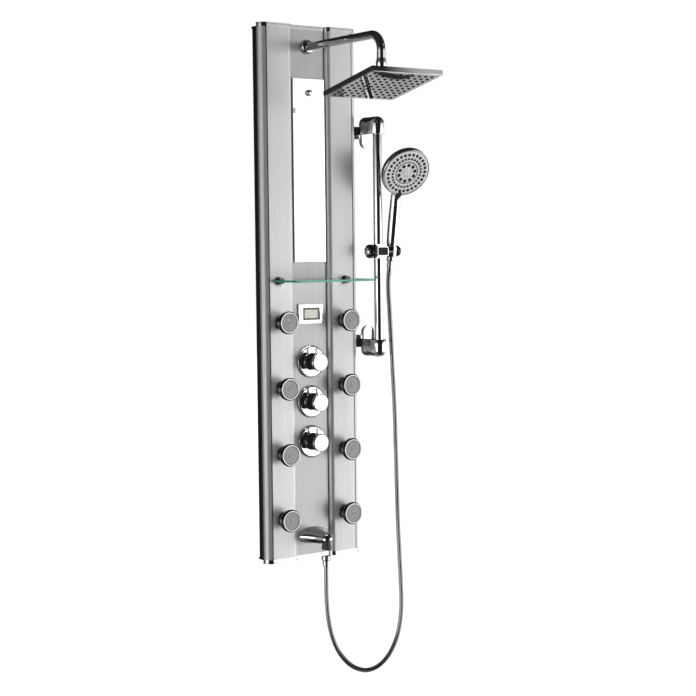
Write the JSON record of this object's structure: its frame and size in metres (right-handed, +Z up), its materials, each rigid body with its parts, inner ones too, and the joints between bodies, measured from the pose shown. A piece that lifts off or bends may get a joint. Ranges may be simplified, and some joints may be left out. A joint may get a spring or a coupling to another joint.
{
  "type": "rainfall shower column",
  "caption": "Wall-mounted rainfall shower column with twin fluted columns, square rain head on an arm, body jets, mirror, glass shelf, spout and hand shower on a slide bar.",
  "frame": {"origin": "centre of the four wall screw holes, on the back face that lies on the wall", "axes": "+Z up along the panel, +Y into the wall so the front faces -Y, +X to the right seen from the front"},
  "size_m": [0.4184, 0.4423, 1.6344],
  "materials": {
    "satin_aluminium": "satin",
    "brushed_plate": "brushed",
    "anodised_frame": "satin",
    "galvanised_steel": "matt",
    "bright_cap": "polished",
    "mirror_silver": "polished",
    "chrome": "polished",
    "clear_glass": "polished",
    "display_frame": "satin",
    "display_window": "gloss",
    "circuit_board": "matt",
    "head_shell": "polished",
    "head_face": "polished",
    "black_rubber": "matt",
    "brass": "machined",
    "jet_chrome": "polished",
    "spray_face": "satin",
    "dark_lever": "gloss",
    "black_plastic": "matt",
    "steel_hose": "polished"
  },
  "bodies": {
    "panel": {"back_frame": "anodised_frame", "left_column": "satin_aluminium", "right_column": "satin_aluminium", "centre_plate": "brushed_plate", "mounting_rails": "galvanised_steel", "left_top_cap": "bright_cap", "centre_top_cap": "bright_cap", "right_top_cap": "bright_cap", "left_bottom_cap": "bright_cap", "centre_bottom_cap": "bright_cap", "right_bottom_cap": "bright_cap", "mirror_glass": "mirror_silver", "mirror_screw": "chrome", "shelf_glass": "clear_glass", "shelf_clips": "chrome", "shelf_screws": "chrome", "display_bezel": "display_frame", "display_lens": "display_window", "display_module": "circuit_board", "arm_cover": "chrome", "shower_arm": "chrome", "swivel_ball": "chrome", "cover_top": "chrome", "cover_middle": "chrome", "cover_bottom": "chrome", "valve_bodies": "brass", "water_pipes": "brass", "water_inlets": "brass", "jet_collars": "chrome", "spout_body": "chrome", "spout_outlet": "black_plastic", "slide_bar": "chrome", "bracket_top": "chrome", "bracket_bottom": "chrome", "bar_arms": "chrome", "hose": "steel_hose", "hose_nut_lower": "chrome"},
    "rain_swivel": {"swivel_nut": "chrome"},
    "rain_head": {"rain_head_body": "head_shell", "rain_head_plate": "head_face", "rain_nozzles": "black_rubber"},
    "top_control": {"knob_top": "chrome"},
    "middle_control": {"knob_middle": "chrome"},
    "bottom_control": {"knob_bottom": "chrome"},
    "slider": {"slider_clamp": "chrome"},
    "clamp_screw": {"clamp_knob": "chrome"},
    "holder": {"handset_holder": "chrome", "pivot_cap": "chrome"},
    "handset": {"handset_body": "chrome", "hose_nut_upper": "chrome"},
    "spray_selector": {"handset_face": "spray_face", "spray_lever": "dark_lever"},
    "left_jet_1": {"jet_left_1": "jet_chrome"},
    "left_jet_2": {"jet_left_2": "jet_chrome"},
    "left_jet_3": {"jet_left_3": "jet_chrome"},
    "left_jet_4": {"jet_left_4": "jet_chrome"},
    "right_jet_1": {"jet_right_1": "jet_chrome"},
    "right_jet_2": {"jet_right_2": "jet_chrome"},
    "right_jet_3": {"jet_right_3": "jet_chrome"},
    "right_jet_4": {"jet_right_4": "jet_chrome"}
  },
  "joints": [
    {"name": "rain_head_tilt", "type": "hinge", "parent": "panel", "child": "rain_swivel", "pos_m": [0, -0.338, 0.517], "axis": [1, 0, 0], "range_deg": [-9, 9]},
    {"name": "rain_head_roll", "type": "hinge", "parent": "rain_swivel", "child": "rain_head", "pos_m": [0, -0.338, 0.517], "axis": [0, 0.9781, -0.2079], "range_deg": [-8, 8]},
    {"name": "top_knob_turn", "type": "hinge", "parent": "panel", "child": "top_control", "pos_m": [0, -0.056, -0.167], "axis": [0, -1, 0], "range_deg": [-100, 100]},
    {"name": "middle_knob_turn", "type": "hinge", "parent": "panel", "child": "middle_control", "pos_m": [0, -0.056, -0.267], "axis": [0, -1, 0], "range_deg": [-90, 90]},
    {"name": "bottom_knob_turn", "type": "hinge", "parent": "panel", "child": "bottom_control", "pos_m": [0, -0.056, -0.367], "axis": [0, -1, 0], "range_deg": [0, 100]},
    {"name": "left_jet_1_tilt", "type": "hinge", "parent": "panel", "child": "left_jet_1", "pos_m": [-0.0925, -0.054, -0.066], "axis": [1, 0, 0], "range_deg": [-15, 15]},
    {"name": "left_jet_2_tilt", "type": "hinge", "parent": "panel", "child": "left_jet_2", "pos_m": [-0.0925, -0.054, -0.228], "axis": [1, 0, 0], "range_deg": [-15, 15]},
    {"name": "left_jet_3_tilt", "type": "hinge", "parent": "panel", "child": "left_jet_3", "pos_m": [-0.0925, -0.054, -0.39], "axis": [1, 0, 0], "range_deg": [-15, 15]},
    {"name": "left_jet_4_tilt", "type": "hinge", "parent": "panel", "child": "left_jet_4", "pos_m": [-0.0925, -0.054, -0.552], "axis": [1, 0, 0], "range_deg": [-15, 15]},
    {"name": "right_jet_1_tilt", "type": "hinge", "parent": "panel", "child": "right_jet_1", "pos_m": [0.0925, -0.054, -0.066], "axis": [1, 0, 0], "range_deg": [-15, 15]},
    {"name": "right_jet_2_tilt", "type": "hinge", "parent": "panel", "child": "right_jet_2", "pos_m": [0.0925, -0.054, -0.228], "axis": [1, 0, 0], "range_deg": [-15, 15]},
    {"name": "right_jet_3_tilt", "type": "hinge", "parent": "panel", "child": "right_jet_3", "pos_m": [0.0925, -0.054, -0.39], "axis": [1, 0, 0], "range_deg": [-15, 15]},
    {"name": "right_jet_4_tilt", "type": "hinge", "parent": "panel", "child": "right_jet_4", "pos_m": [0.0925, -0.054, -0.552], "axis": [1, 0, 0], "range_deg": [-15, 15]},
    {"name": "slider_lift", "type": "slide", "parent": "panel", "child": "slider", "axis": [0, 0, 1], "range_m": [-0.2, 0.27], "deforming": ["hose"]},
    {"name": "clamp_screw_turn", "type": "hinge", "parent": "slider", "child": "clamp_screw", "pos_m": [0.15, -0.074, 0.105], "axis": [-1, 0, 0], "range_deg": [-90, 90]},
    {"name": "holder_tilt", "type": "hinge", "parent": "slider", "child": "holder", "pos_m": [0.22, -0.074, 0.105], "axis": [1, 0, 0], "range_deg": [-2, 22], "deforming": ["hose"]},
    {"name": "handset_lift", "type": "slide", "parent": "holder", "child": "handset", "axis": [0, -0.1564, 0.9877], "range_m": [0, 0.06], "deforming": ["hose"]},
    {"name": "spray_selector_turn", "type": "hinge", "parent": "handset", "child": "spray_selector", "pos_m": [0.2128, -0.15079, 0.29938], "axis": [-0.146, -0.8547, -0.4982], "range_deg": [-20, 20]}
  ]
}
